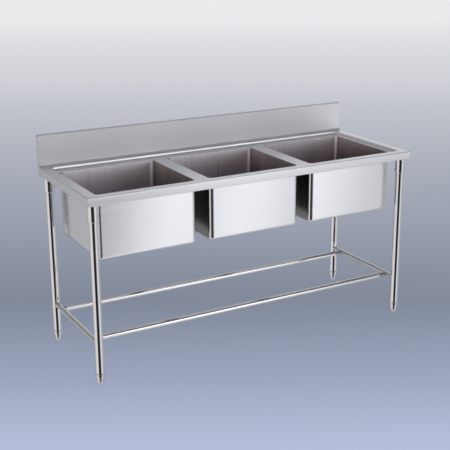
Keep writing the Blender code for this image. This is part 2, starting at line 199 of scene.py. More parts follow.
SHEET_DULL, SHEET_BRIGHT = (0.84, 0.84, 0.86), (0.92, 0.92, 0.94)
BASIN_DULL, BASIN_BRIGHT = (0.86, 0.82, 0.86), (0.99, 0.96, 0.98)
# Painted shade: the dark tones for the bowls' inner end walls.
SHADED_DULL, SHADED_BRIGHT = (0.32, 0.26, 0.25), (0.50, 0.42, 0.41)
sheet_x = brushed_steel("brushed_along_length", SHEET_DULL, SHEET_BRIGHT, 0.30, "X")
sheet_y = brushed_steel("brushed_along_depth", SHEET_DULL, SHEET_BRIGHT, 0.30, "Y")
splash_x = brushed_steel("brushed_splash", (0.93, 0.93, 0.95), (0.98, 0.98, 1.0), 0.56, "X")
bowl_steel = brushed_steel("brushed_bowl_outside", (0.90, 0.90, 0.92), (0.95, 0.95, 0.97), 0.20, "X")
# A much darker copy of the outside steel: painted shade for the bowls' outer end walls that face a
# neighbouring bowl across the dark gap.
side_steel = brushed_steel("bowl_side_painted_shade", (0.22, 0.21, 0.20), (0.34, 0.33, 0.32), 0.27, "Z", streaky=2.0)
basin_steel = brushed_steel("brushed_bowl_inside", BASIN_DULL, BASIN_BRIGHT, 0.30, "Z", 1.5, 2.5)
# A dark copy of the inside steel: painted shade for the inner end walls of every bowl.
basin_side_steel = brushed_steel("bowl_inside_end_painted_shade", SHADED_DULL, SHADED_BRIGHT, 0.25, "Z", 1.5, 2.5)
tube_steel = polished_steel("polished_tube", (0.84, 0.84, 0.85), (0.93, 0.93, 0.95), 0.07)
rail_steel = polished_steel("polished_rail", (0.80, 0.78, 0.78), (0.90, 0.89, 0.89), 0.13)
foot_steel = polished_steel("turned_foot", (0.76, 0.76, 0.77), (0.88, 0.88, 0.89), 0.16)
drain_steel = polished_steel("pressed_drain", (0.66, 0.66, 0.66), (0.80, 0.80, 0.80), 0.14)
plate_steel = cast_finish("zinc_plate", (0.46, 0.46, 0.48), (0.62, 0.62, 0.64), 0.42, 1.0, 900.0, 0.0001)
weld_steel = cast_finish("weld_bead", (0.40, 0.37, 0.34), (0.62, 0.60, 0.58), 0.38, 1.0, 520.0, 0.0004)
seal_rubber = cast_finish("seal_rubber", (0.015,) * 3, (0.035, 0.035, 0.034), 0.72, 0.0, 700.0, 0.0002)
insert_nylon = cast_finish("insert_nylon", (0.17, 0.17, 0.18), (0.24, 0.24, 0.25), 0.5, 0.0, 800.0, 0.0001)


# Shapes

SHARP_FROM = math.radians(32.0)


def skin(name, loops, ring=False, sharp=SHARP_FROM):
    """A mesh through equal loops of points, with flat ends, or with the last loop joined to the first."""
    bm = bmesh.new()
    rows = [[bm.verts.new(point) for point in loop] for loop in loops]
    pairs = list(zip(rows, rows[1:]))
    if ring:
        pairs.append((rows[-1], rows[0]))
    else:
        bm.faces.new(rows[0])
        bm.faces.new(rows[-1])
    for lower, upper in pairs:
        for i, start in enumerate(lower):
            after = (i + 1) % len(lower)
            bm.faces.new((start, lower[after], upper[after], upper[i]))
    bmesh.ops.recalc_face_normals(bm, faces=bm.faces)
    mesh = bpy.data.meshes.new(name)
    bm.to_mesh(mesh)
    bm.free()
    mesh.shade_smooth()
    mesh.set_sharp_from_angle(angle=sharp)
    return mesh


def circle(radius, z, sides):
    turns = [2 * math.pi * (i + 0.5) / sides for i in range(sides)]
    return [(radius * math.cos(turn), radius * math.sin(turn), z) for turn in turns]


def turned(name, profile, sides=TUBE_SIDES, ring=False):
    return skin(name, [circle(radius, z, sides) for radius, z in profile], ring)


def rounded(half_x, half_y, radius, z, steps):
    """A rectangle about the origin with rounded corners."""
    points = []
    for corner, (sx, sy) in enumerate(((1, 1), (-1, 1), (-1, -1), (1, -1))):
        for step in range(steps + 1):
            turn = math.pi / 2 * (corner + step / steps)
            x = sx * (half_x - radius) + radius * math.cos(turn)
            y = sy * (half_y - radius) + radius * math.sin(turn)
            points.append((x, y, z))
    return points


def arc(centre, radius, start, stop, steps):
    """Points of a bend in a section, angles in degrees."""
    points = []
    for step in range(steps + 1):
        turn = math.radians(start + (stop - start) * step / steps)
        points.append((centre[0] + radius * math.cos(turn), centre[1] + radius * math.sin(turn)))
    return points


def loose(name, data, location=(0, 0, 0), rotation=(0, 0, 0)):
    """An object of the scene that no body carries yet."""
    made = bpy.data.objects.new(name, data)
    bpy.context.scene.collection.objects.link(made)
    made.location = location
    made.rotation_euler = rotation
    return made


def place(name, mesh, material, slot, node=None, body=FRAME_BODY, location=(0, 0, 0), rotation=(0, 0, 0)):
    """A piece of the sink, which rides on a body and stands for a node of the frame if one is given."""
    made = loose(name, mesh, location, rotation)
    made.data.materials.append(material)
    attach(made, body)
    if node:
        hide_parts(node)
    return made


def cut(target, cutter):
    """Cuts one mesh from another, and takes the cutter out of the scene."""
    modifier = target.modifiers.new("cut", "BOOLEAN")
    modifier.operation = "DIFFERENCE"
    modifier.solver = "EXACT"
    modifier.object = cutter
    bpy.context.view_layer.update()
    graph = bpy.context.evaluated_depsgraph_get()
    mesh = bpy.data.meshes.new_from_object(target.evaluated_get(graph))
    target.modifiers.clear()
    target.data = mesh
    mesh.shade_smooth()
    mesh.set_sharp_from_angle(angle=SHARP_FROM)
    bpy.data.objects.remove(cutter, do_unlink=True)


def middle_and_half(node):
    """The middle of a node's box, and half its size."""
    low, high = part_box(node)
    return (low + high) / 2, (high - low) / 2


def middle(node):
    return middle_and_half(node)[0]


# Deck

deck_low, deck_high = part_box("deck")
BOWL_FLANGE = 0.008
LIP = 0.003
LIP_LAP = 0.002
BOWL_CORNER = 0.020
BEND = 0.003
RIM_WIDTH = 0.042
RIM_STEP = 0.012
RIM_CORNER = 0.020
DECK_CORNER = 0.0032
HEM_DEPTH = 0.010
SHEET_TOP = deck_high.z - RIM_STEP


def deck_section():
    """(inset, height) from the sunk face over the rim, down the apron, round the hem and back underneath."""
    drop = deck_high.z - deck_low.z
    outer = arc((RIM_WIDTH + BEND, BEND - RIM_STEP), BEND, -90, -180, 4)
    outer += arc((RIM_WIDTH - BEND, -BEND), BEND, 0, 90, 4)
    outer += arc((BEND, -BEND), BEND, 90, 180, 5)
    outer += arc((BEND, BEND - drop), BEND, 180, 270, 4)
    outer += [(HEM_DEPTH, -drop), (HEM_DEPTH, SHEET - drop)]
    thin = BEND - SHEET
    inner = arc((BEND, BEND - drop), thin, 270, 180, 2)
    inner += arc((BEND, -BEND), thin, 180, 90, 2)
    inner += arc((RIM_WIDTH - BEND, -BEND), thin, 90, 0, 2)
    inner += arc((RIM_WIDTH + BEND, BEND - RIM_STEP), BEND + SHEET, 180, 270, 4)
    return outer + inner


def deck_loop(inset, height):
    half_x = (deck_high.x - deck_low.x) / 2 - inset
    half_y = (deck_high.y - deck_low.y) / 2 - inset
    if inset > RIM_WIDTH / 2:
        radius = RIM_CORNER + RIM_WIDTH - inset
    else:
        radius = max(DECK_CORNER - inset, SHEET / 3)
    return rounded(half_x, half_y, radius, height, 9)


deck_mesh = skin("deck_sheet", [deck_loop(*pair) for pair in deck_section()])
deck = place("deck_sheet", deck_mesh, sheet_x, "satin_steel", "deck", location=(0, 0, deck_high.z))
for name in BOWLS:
    centre, half = middle_and_half(f"bowl_{name}")
    outset = LIP - SHEET - BOWL_FLANGE
    loops = [rounded(half.x + outset, half.y + outset, BOWL_CORNER + LIP, z, 12) for z in (-0.03, 0.03)]
    cut(deck, loose("cutter", skin("cutter", loops), (centre.x, centre.y, SHEET_TOP)))


# Backsplash: a folded panel with its two end plates. The folded top drops a little at each end.

splash_low, splash_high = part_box("backsplash")
SPLASH_RETURN = 0.028
SPLASH_DEPTH = 0.022
SPLASH_COVE = 0.014
COVE_LIP = 0.0008
END_ROUND = 0.007


def splash_section(top):
    depth = SPLASH_DEPTH
    thin = BEND - SHEET
    outer = [(depth - SHEET, 0), (-SPLASH_COVE, 0)]
    outer += arc((-SPLASH_COVE, SPLASH_COVE + COVE_LIP), SPLASH_COVE, -90, 0, 8)
    outer += arc((BEND, top - BEND), BEND, 180, 90, 6) + arc((depth - BEND, top - BEND), BEND, 90, 0, 6)
    outer += [(depth, top - SPLASH_RETURN), (depth - SHEET, top - SPLASH_RETURN)]
    inner = arc((depth - BEND, top - BEND), thin, 0, 90, 2) + arc((BEND, top - BEND), thin, 90, 180, 2)
    inner += arc((BEND, BEND), thin, 180, 270, 2) + [(depth - SHEET, SHEET)]
    return outer + inner


splash_height = splash_high.z - splash_low.z
end_drop = arc((END_ROUND, -END_ROUND), END_ROUND, 180, 90, 6)
stations = [(inset, splash_height + rise) for inset, rise in end_drop]
splash_loops = []
for inset, top in stations:
    splash_loops.append([(splash_low.x + inset, y, z) for y, z in splash_section(top)])
for inset, top in reversed(stations):
    splash_loops.append([(splash_high.x - inset, y, z) for y, z in splash_section(top)])
place(
    "backsplash_panel",
    skin("backsplash_panel", splash_loops),
    splash_x,
    "satin_steel",
    "backsplash",
    location=(0, splash_high.y - SPLASH_DEPTH, splash_low.z),
)
for side in SIDES:
    low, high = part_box(f"splash_end_{side}")
    depth = high.y - low.y
    top = high.z - low.z - END_ROUND
    outline = arc((BEND, BEND), BEND, 270, 180, 3) + arc((BEND, top - BEND), BEND, 180, 90, 6)
    outline += arc((depth - BEND, top - BEND), BEND, 90, 0, 6) + arc((depth - BEND, BEND), BEND, 0, -90, 3)
    loops = [[(x, low.y + y, low.z + z) for y, z in outline] for x in (low.x, high.x)]
    mesh = skin("splash_end_plate", loops)
    place(f"splash_end_plate_{side}", mesh, sheet_y, "satin_steel", f"splash_end_{side}")


# Bowls

FLOOR_FALL = 0.004
SEAT_DROP = 0.0035
SEAT_RADIUS = 0.062
SEAT_BEND = 0.002
DRAIN_HOLE = 0.046
BOWL_FOLD = 0.015
CORNER_STEPS = 13
BOWL_SHARP_FROM = math.radians(40.0)


def bowl_mesh(half, floor, deck_level, open_side):
    """half is the inside half length and depth, and floor the height of the inside floor at the walls.
    open_side is the side that faces no other bowl: -1, 0 for none, or 1."""
    count = 4 * (CORNER_STEPS + 1)

    def loop(outset, z):
        return rounded(half.x + outset, half.y + outset, BOWL_CORNER + outset, z, CORNER_STEPS)

    low = floor - FLOOR_FALL
    seat = low - SEAT_DROP
    lip = [(LIP + LIP_LAP, deck_level), *arc((LIP, deck_level - LIP), LIP, 90, 180, 5)]
    loops = [loop(*pair) for pair in lip]
    loops += [loop(*pair) for pair in arc((-BOWL_FOLD, floor + BOWL_FOLD), BOWL_FOLD, 0, -90, 8)]
    loops += [circle(SEAT_RADIUS + 2 * SEAT_BEND, low + 0.0002, count)]
    seat_bend = arc((SEAT_RADIUS + SEAT_BEND, low - SEAT_BEND), SEAT_BEND, 90, 180, 3)
    loops += [circle(radius, z, count) for radius, z in seat_bend]
    loops += [circle(SEAT_RADIUS, seat, count), circle(DRAIN_HOLE, seat, count)]
    loops += [circle(DRAIN_HOLE, seat - SHEET, count), circle(SEAT_RADIUS + SHEET, seat - SHEET, count)]
    loops += [circle(SEAT_RADIUS + 3 * SHEET, low - SHEET, count)]
    outside = arc((-BOWL_FOLD, floor + BOWL_FOLD), BOWL_FOLD + SHEET, -90, 0, 8)
    loops += [loop(*pair) for pair in outside]
    loops += [loop(SHEET, deck_level - LIP), loop(LIP + LIP_LAP, deck_level - SHEET / 2)]
    mesh = skin("bowl", loops, ring=True, sharp=BOWL_SHARP_FROM)
    outer_face = count * (len(loops) - len(outside) - 4)
    # Slot 2 is a darker copy of the steel for the inner end walls, and slot 3 a darker copy for outer end
    # walls that face another bowl: both are painted shade.
    for face in mesh.polygons:
        sideways = abs(face.normal.x) > 0.9
        if face.index < outer_face:
            face.material_index = 2 if sideways else 1
        elif sideways and face.normal.x * open_side < 0.5:
            face.material_index = 3
    return mesh


for order, name in enumerate(BOWLS):
    centre, half = middle_and_half(f"bowl_{name}")
    inside = Vector((half.x - SHEET - BOWL_FLANGE, half.y - SHEET - BOWL_FLANGE))
    floor = centre.z - half.z + FLOOR_FALL + SEAT_DROP + SHEET
    mesh = bowl_mesh(inside, floor - SHEET_TOP, -0.0001, order - 1)
    at = (centre.x, centre.y, SHEET_TOP)
    bowl = place(f"bowl_pressing_{name}", mesh, bowl_steel, "brushed_steel", f"bowl_{name}", location=at)
    for lining in (basin_steel, basin_side_steel, side_steel):
        bowl.data.materials.append(lining)


# Drains: a cup with a threaded tail, its washer and lock ring, and the basket that lifts out

FLANGE_RADIUS = 0.060
FLANGE_THICK = 0.002
CUP_BORE = 0.0425
CUP_DEPTH = 0.040
CUP_BEND = 0.004
CUP_WALL = 0.002
TAIL_BORE = 0.020
TAIL_RADIUS = 0.0225
TAIL_GROOVES = 7
GROOVE_PITCH = 0.0022
RING_BORE = 0.0448
RING_RADIUS = 0.0535
RING_CHAMFER = 0.0015
RING_SIDES = 96
RING_LUGS = 4
LUG_REACH = 0.0045
WASHER_RADIUS = 0.056
BASKET_RADIUS = 0.040
BASKET_HEIGHT = 0.0357
BASKET_BEND = 0.0045
BASKET_WALL = 0.0012
BASKET_RIM = 0.0472
KNOB_STEM = 0.004
KNOB_RADIUS = 0.007
FLOOR_HOLES = 8
FLOOR_HOLE_RADIUS = 0.0034
FLOOR_HOLE_RING = 0.0292
WALL_HOLES = 16
WALL_HOLE_RADIUS = 0.0024
WALL_HOLE_STRETCH = 2.6
STOPPER_RADIUS = 0.0235


def drain_cup(top, bottom):
    """From under the flange over its rim, down inside the cup and the tail, and up outside."""
    flange = top - FLANGE_THICK
    mouth = CUP_BORE + CUP_WALL
    bend_at = (CUP_BORE - CUP_BEND, flange - CUP_DEPTH + CUP_BEND)
    neck = TAIL_BORE + 0.001
    profile = [(mouth, flange), (FLANGE_RADIUS, flange)]
    profile += arc((FLANGE_RADIUS - 0.0015, flange + 0.0005), 0.0015, 0, 90, 4)
    profile += arc((mouth, flange - 0.0002), CUP_WALL, 80, 180, 5)
    profile += arc(bend_at, CUP_BEND, 0, -90, 5) + [(neck, flange - CUP_DEPTH - 0.0002)]
    profile += arc((neck, flange - CUP_DEPTH - 0.0012), 0.001, 90, 180, 3) + [(TAIL_BORE, bottom)]
    profile += [(TAIL_RADIUS, bottom)]
    for step in range(TAIL_GROOVES):
        groove = bottom + 0.002 + GROOVE_PITCH * step
        profile += [(TAIL_RADIUS, groove), (TAIL_RADIUS - 0.0007, groove + GROOVE_PITCH / 2)]
    profile += [(TAIL_RADIUS, flange - CUP_DEPTH - 0.0015)]
    profile += arc(bend_at, CUP_BEND + CUP_WALL, -90, 0, 5)
    return turned("drain_body", profile, ROUND_SIDES, ring=True)


def lock_ring(reach):
    """A ring nut with lugs for a spanner. reach is half its height."""
    edge = RING_RADIUS - RING_CHAMFER
    profile = [(RING_BORE, -reach), (edge, -reach), (RING_RADIUS, 0.001 - reach)]
    profile += [(RING_RADIUS, reach - 0.001), (edge, reach), (RING_BORE, reach)]
    spacing = RING_SIDES // RING_LUGS
    rows = []
    for radius, z in profile:
        row = []
        for i in range(RING_SIDES):
            turn = 2 * math.pi * (i + 0.5) / RING_SIDES
            out = radius
            if i % spacing < spacing / 3 and radius > RING_BORE:
                out += LUG_REACH
            row.append((out * math.cos(turn), out * math.sin(turn), z))
        rows.append(row)
    return skin("lock_ring", rows, ring=True)


def strainer_cup(bottom):
    """From the floor of the basket up outside, over its rim, down inside, and up the knob in its middle."""
    top = bottom + BASKET_HEIGHT
    turn_in = BASKET_RADIUS - BASKET_BEND
    profile = arc((turn_in, bottom + BASKET_BEND), BASKET_BEND, -90, 0, 5) + [(BASKET_RADIUS, top - 0.0025)]
    profile += arc((BASKET_RADIUS + 0.0015, top - 0.0025), 0.0015, 180, 90, 3) + [(BASKET_RIM, top - 0.001)]
    profile += arc((BASKET_RIM, top - 0.0005), 0.0005, -90, 90, 4)
    profile += arc((BASKET_RADIUS, top - 0.001), 0.001, 90, 180, 4)
    floor = bottom + BASKET_WALL
    profile += [(BASKET_RADIUS - BASKET_WALL, bottom + BASKET_BEND), (turn_in - BASKET_WALL, floor)]
    profile += [(KNOB_STEM + 0.001, floor)]
    profile += arc((KNOB_STEM + 0.001, floor + 0.001), 0.001, 270, 180, 2) + [(KNOB_STEM, top - 0.0135)]
    profile += arc((KNOB_RADIUS, top - 0.0065), 0.0020, -90, 90, 6) + [(0.002, top - 0.004)]
    return turned("strainer_cup", profile, ROUND_SIDES)


def strainer_holes(bottom):
    """Drills for the round holes in the basket's floor and the long ones in its wall."""
    bm = bmesh.new()

    def drill(radius, depth, sides):
        ends = {"radius1": radius, "radius2": radius}
        return bmesh.ops.create_cone(bm, cap_ends=True, segments=sides, depth=depth, **ends)["verts"]

    for i in range(FLOOR_HOLES):
        turn = 2 * math.pi * i / FLOOR_HOLES
        at = (FLOOR_HOLE_RING * math.cos(turn), FLOOR_HOLE_RING * math.sin(turn), bottom)
        bmesh.ops.translate(bm, verts=drill(FLOOR_HOLE_RADIUS, 0.012, 16), vec=at)
    sideways = Quaternion((0, 1, 0), math.pi / 2).to_matrix()
    for i in range(WALL_HOLES):
        around = Quaternion((0, 0, 1), 2 * math.pi * (i + 0.5) / WALL_HOLES).to_matrix()
        verts = drill(WALL_HOLE_RADIUS, 0.014, 12)
        bmesh.ops.rotate(bm, verts=verts, matrix=sideways)
        bmesh.ops.scale(bm, verts=verts, vec=(1, 1, WALL_HOLE_STRETCH))
        bmesh.ops.translate(bm, verts=verts, vec=(BASKET_RADIUS, 0, bottom + 0.016))
        bmesh.ops.rotate(bm, verts=verts, matrix=around)
    holes = bpy.data.meshes.new("holes")
    bm.to_mesh(holes)
    bm.free()
    return holes


for name in BOWLS:
    node = f"drain_body_{name}"
    centre, half = middle_and_half(node)
    mesh = drain_cup(half.z, -half.z)
    place(f"drain_cup_{name}", mesh, drain_steel, "polished_tube", node, location=centre)

    node = f"drain_gasket_{name}"
    centre, half = middle_and_half(node)
    swell = arc((WASHER_RADIUS - half.z, 0), half.z, -90, 90, 6)
    profile = [(RING_BORE, -half.z), *swell, (RING_BORE, half.z)]
    mesh = turned("drain_gasket", profile, ROUND_SIDES, ring=True)
    place(f"drain_washer_{name}", mesh, seal_rubber, "black_rubber", node, location=centre)

    node = f"drain_nut_{name}"
    centre, half = middle_and_half(node)
    place(f"drain_lock_ring_{name}", lock_ring(half.z), plate_steel, "zinc_plate", node, location=centre)

    body = f"strainer_{name}"
    node = f"strainer_basket_{name}"
    centre, half = middle_and_half(node)
    mesh = strainer_cup(-half.z)
    basket = place(f"strainer_cup_{name}", mesh, drain_steel, "polished_tube", node, body, centre)
    cut(basket, loose("holes", strainer_holes(-half.z), centre))

    node = f"strainer_seal_{name}"
    centre, half = middle_and_half(node)
    edge = STOPPER_RADIUS - 0.001
    profile = [(0.006, -half.z), (edge, -half.z)]
    profile += arc((STOPPER_RADIUS - half.z, 0), half.z, -60, 60, 4) + [(edge, half.z), (0.006, half.z)]
    mesh = turned("strainer_seal", profile, ROUND_SIDES)
    place(f"strainer_stopper_{name}", mesh, seal_rubber, "black_rubber", node, body, centre)


# Legs, sockets and feet

LEG_RADIUS = 0.019
LEG_BORE = 0.0175
LEG_EDGE = 0.0006
SOCKET_RADIUS = 0.023
PLUG_RADIUS = 0.0172
PLUG_RIBS = 4
THREAD_PITCH = 0.00175
THREAD_BORE = 0.0064
COLLAR_RADIUS = 0.0215
COLLAR_BEND = 0.0012
SCREW_HOLE_RADIUS = 0.0042
KEY_HOLE_RADIUS = 0.0026
KEY_HOLE_HEIGHT = 0.0205
BULLET_HEIGHT = 0.0385
weld_paths = []


def leg_tube(low, high):
    profile = [(LEG_RADIUS - LEG_EDGE, low), (LEG_RADIUS, low + LEG_EDGE), (LEG_RADIUS, high)]
    profile += [(LEG_BORE, high), (LEG_BORE, low)]
    return turned("leg_tube", profile, TUBE_SIDES, ring=True)


def leg_cup(low, high):
    """A socket with its lower edge turned in to the leg."""
    profile = [(SOCKET_RADIUS - 0.001, high), (SOCKET_RADIUS, high - 0.001)]
    profile += arc((SOCKET_RADIUS - 0.003, low + 0.004), 0.003, 0, -60, 5)
    profile += [(0.0200, low + 0.0003), (0.0195, low), (0.0194, low + 0.001), (0.0194, high - 0.003)]
    return turned("leg_cup", profile, TUBE_SIDES)


def grub_screw(reach):
    """A headless screw with a socket in its outer end. reach is half its length."""
    profile = [(0.003, -reach), (0.0039, 0.001 - reach)]
    for step in range(6):
        groove = step * 0.0008 - reach
        profile += [(0.0039, groove + 0.0014), (0.0036, groove + 0.0018)]
    profile += [(0.0037, reach), (0.002, reach), (0.002, reach - 0.0025)]
    return turned("socket_screw", profile, SMALL_SIDES)


def foot_plug(low, high):
    """A ribbed insert, pressed into the end of the tube."""
    groove = PLUG_RADIUS - 0.0006
    profile = [(0.0168, low), (PLUG_RADIUS, low + 0.0006)]
    for step in range(PLUG_RIBS):
        rib = low + 0.003 + 0.004 * step
        profile += [(PLUG_RADIUS, rib), (groove, rib + 0.0006)]
        profile += [(groove, rib + 0.0016), (PLUG_RADIUS, rib + 0.0022)]
    profile += [(0.0168, high), (THREAD_BORE, high), (THREAD_BORE, low)]
    return turned("foot_insert", profile, TUBE_SIDES, ring=True)


def foot_thread(low, high):
    profile = [(0.0048, low)]
    for step in range(int((high - low - 0.004) / THREAD_PITCH)):
        z = low + 0.001 + THREAD_PITCH * step
        profile += [(0.0052, z), (0.0060, z + THREAD_PITCH * 0.45), (0.0060, z + THREAD_PITCH * 0.6)]
    profile += [(0.0048, high)]
    return turned("foot_thread", profile, SMALL_SIDES)


def foot_bullet(high):
    """A rounded tip, a slowly widening side, and a collar on top."""
    profile = arc((0.0072, 0.0045), 0.0045, -90, -25, 5)
    profile += [(0.0135, 0.006), (0.0150, 0.014), (0.0166, 0.024), (0.0180, 0.034), (0.0184, BULLET_HEIGHT)]
    profile += arc((0.0192, BULLET_HEIGHT + 0.001), 0.0007, 180, 90, 3)
    profile += arc((COLLAR_RADIUS - COLLAR_BEND, 0.0415), COLLAR_BEND, -90, 0, 4)
    profile += arc((COLLAR_RADIUS - COLLAR_BEND, high - 0.0014), COLLAR_BEND, 0, 90, 4)
    profile += [(THREAD_BORE, high), (THREAD_BORE, 0.0296)]
    return turned("foot_bullet", profile, TUBE_SIDES)


def rod(radius, reach, sides=SMALL_SIDES):
    return turned("rod", [(radius, -reach), (radius, reach)], sides)


def ring_path(radius, z, centre):
    return [(centre.x + x, centre.y + y, z) for x, y, _ in circle(radius, 0, 48)]


def saddle_path(pipe_radius, branch_radius, centre, direction, upright):
    """Where a level branch tube meets a pipe, which is upright or crosses it. direction is the branch's."""
    along = Vector(direction)
    across = Vector((-along.y, along.x, 0))
    points = []
    for i in range(48):
        turn = 2 * math.pi * i / 48
        level = branch_radius * math.cos(turn)
        rise = branch_radius * math.sin(turn)
        reach = math.sqrt(pipe_radius**2 - (level if upright else rise) ** 2)
        points.append(centre + along * reach + across * level + Vector((0, 0, rise)))
    return points


for corner in CORNERS:
    node = f"leg_{corner}"
    low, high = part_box(node)
    axis = (low + high) / 2
    floor_point = (axis.x, axis.y, 0)
    mesh = leg_tube(low.z, high.z)
    place(f"leg_tube_{corner}", mesh, tube_steel, "polished_tube", node, location=floor_point)

    node = f"leg_socket_{corner}"
    low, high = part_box(node)
    mesh = leg_cup(low.z, high.z)
    socket = place(f"leg_cup_{corner}", mesh, tube_steel, "polished_tube", node, location=floor_point)
    weld_paths.append(ring_path(SOCKET_RADIUS + 0.0004, high.z - 0.0008, axis))

    node = f"socket_screw_{corner}"
    screw_at, half = middle_and_half(node)
    sideways = (0, math.copysign(math.pi / 2, -axis.x), 0)
    cut(socket, loose("drill", rod(SCREW_HOLE_RADIUS, 0.01), screw_at, sideways))
    mesh = grub_screw(half.x)
    name = f"socket_grub_screw_{corner}"
    place(name, mesh, plate_steel, "zinc_plate", node, location=screw_at, rotation=sideways)

    node = f"foot_insert_{corner}"
    low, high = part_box(node)
    mesh = foot_plug(low.z, high.z)
    place(f"foot_plug_{corner}", mesh, insert_nylon, "grey_nylon", node, location=floor_point)

    node = f"foot_stem_{corner}"
    low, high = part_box(node)
    mesh = foot_thread(low.z, high.z)
    place(f"foot_thread_{corner}", mesh, plate_steel, "zinc_plate", node, node, floor_point)

    node = f"foot_shell_{corner}"
    low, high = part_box(node)
    mesh = foot_bullet(high.z)
    shell = place(f"foot_bullet_{corner}", mesh, foot_steel, "polished_tube", node, node, floor_point)
    key_at = (axis.x, axis.y, KEY_HOLE_HEIGHT)
    cut(shell, loose("key_hole", rod(KEY_HOLE_RADIUS, 0.03), key_at, (math.pi / 2, 0, math.pi / 5)))


# Channels under the ends of the deck


def under_channel(low, high, out):
    """A folded channel, open upwards. out is the side of the sink that it is on: -1 or 1."""
    x0, x1 = (low.x, high.x) if out > 0 else (high.x, low.x)
    inner_top = SHEET_TOP - SHEET - 0.0003
    section = [(x0, inner_top), (x0, low.z + 0.002)]
    section += [(x0 + out * 0.0006, low.z + 0.0006), (x0 + out * 0.002, low.z)]
    section += [(x1 - out * 0.002, low.z), (x1 - out * 0.0006, low.z + 0.0006)]
    section += [(x1, low.z + 0.002), (x1, high.z), (x1 - out * SHEET, high.z)]
    section += [(x1 - out * SHEET, low.z + 0.0025), (x1 - out * 0.0025, low.z + SHEET)]
    section += [(x0 + out * 0.0025, low.z + SHEET), (x0 + out * SHEET, low.z + 0.0025)]
    section += [(x0 + out * SHEET, inner_top)]
    return skin("under_channel", [[(x, y, z) for x, z in section] for y in (low.y, high.y)])


for side, out in OUTWARD.items():
    mesh = under_channel(*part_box(f"channel_{side}"), out)
    place(f"under_channel_{side}", mesh, plate_steel, "zinc_plate", f"channel_{side}")


# Stretchers and rails

RAIL_RADIUS = 0.0127
RAIL_BORE = 0.0112
RAIL_EDGE = 0.0008
STUB_RADIUS = 0.0105
COPE_GAP = 0.0001
COPE_SIDES = 96
ALONG_Y = (-math.pi / 2, 0, 0)
ALONG_X = (0, math.pi / 2, 0)
rail_height = middle("side_stretcher_left").z


def rail_tube(low, high):
    profile = [(RAIL_BORE, low), (RAIL_RADIUS - RAIL_EDGE, low), (RAIL_RADIUS, low + RAIL_EDGE)]
    profile += [(RAIL_RADIUS, high - RAIL_EDGE), (RAIL_RADIUS - RAIL_EDGE, high), (RAIL_BORE, high)]
    return turned("rail_tube", profile, TUBE_SIDES, ring=True)


for side in SIDES:
    node = f"side_stretcher_{side}"
    x = middle(node).x
    front_leg = middle(f"leg_front_{side}")
    rear_leg = middle(f"leg_rear_{side}")
    at = (x, 0, rail_height)
    profile = [(RAIL_RADIUS, front_leg.y), (RAIL_RADIUS, rear_leg.y)]
    profile += [(RAIL_BORE, rear_leg.y), (RAIL_BORE, front_leg.y)]
    mesh = turned("cross_tube", profile, TUBE_SIDES, ring=True)
    name = f"cross_tube_{side}"
    stretcher = place(name, mesh, rail_steel, "polished_tube", node, location=at, rotation=ALONG_Y)
    for leg, direction in ((front_leg, (0, 1, 0)), (rear_leg, (0, -1, 0))):
        at = Vector((x, leg.y, rail_height))
        cut(stretcher, loose("cope", rod(LEG_RADIUS + COPE_GAP, 0.05, COPE_SIDES), at))
        weld_paths.append(saddle_path(LEG_RADIUS, RAIL_RADIUS, at, direction, upright=True))

for end in ENDS:
    node = f"long_rail_{end}"
    low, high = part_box(node)
    y = (low.y + high.y) / 2
    at = (0, y, rail_height)
    mesh = rail_tube(low.x, high.x)
    place(f"rail_tube_{end}", mesh, rail_steel, "polished_tube", node, location=at, rotation=ALONG_X)
    for side, out in OUTWARD.items():
        node = f"rail_stub_{end}_{side}"
        low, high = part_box(node)
        inner = high.x if out < 0 else low.x
        post_x = middle(f"side_stretcher_{side}").x
        profile = [(STUB_RADIUS - RAIL_EDGE, inner), (STUB_RADIUS, inner + out * RAIL_EDGE)]
        profile += [(STUB_RADIUS, post_x)]
        mesh = turned("rail_plug", profile, TUBE_SIDES)
        name = f"rail_plug_{end}_{side}"
        stub = place(name, mesh, plate_steel, "zinc_plate", node, location=at, rotation=ALONG_X)
        joint_at = Vector((post_x, y, rail_height))
        cut(stub, loose("cope", rod(RAIL_RADIUS + COPE_GAP, 0.05, COPE_SIDES), joint_at, ALONG_Y))
        weld_paths.append(saddle_path(RAIL_RADIUS, STUB_RADIUS, joint_at, (-out, 0, 0), upright=False))


# Weld beads: one closed run of metal round each joint, a little uneven

BEAD_RADIUS = 0.0014
BEAD_RIPPLE = 0.16
beads = bpy.data.curves.new("weld_beads", "CURVE")
beads.dimensions = "3D"
beads.bevel_depth = BEAD_RADIUS
beads.bevel_resolution = 3
for path in weld_paths:
    spline = beads.splines.new("POLY")
    spline.points.add(len(path) - 1)
    for i, (point, target) in enumerate(zip(path, spline.points)):
        target.co = (*point, 1.0)
        target.radius = 1.0 + BEAD_RIPPLE * math.sin(i * math.pi / 2)
    spline.use_cyclic_u = True
place("weld_beads", beads, weld_steel, "satin_steel")


# Floor, light and camera

FACING = math.radians(30.37)
CAMERA_FALL = math.radians(16.44)


def shade(red, green, blue):
    """A colour as a display shows it, 0 to 255, in linear light."""
    return tuple(((part / 255 + 0.055) / 1.055) ** 2.4 for part in (red, green, blue))


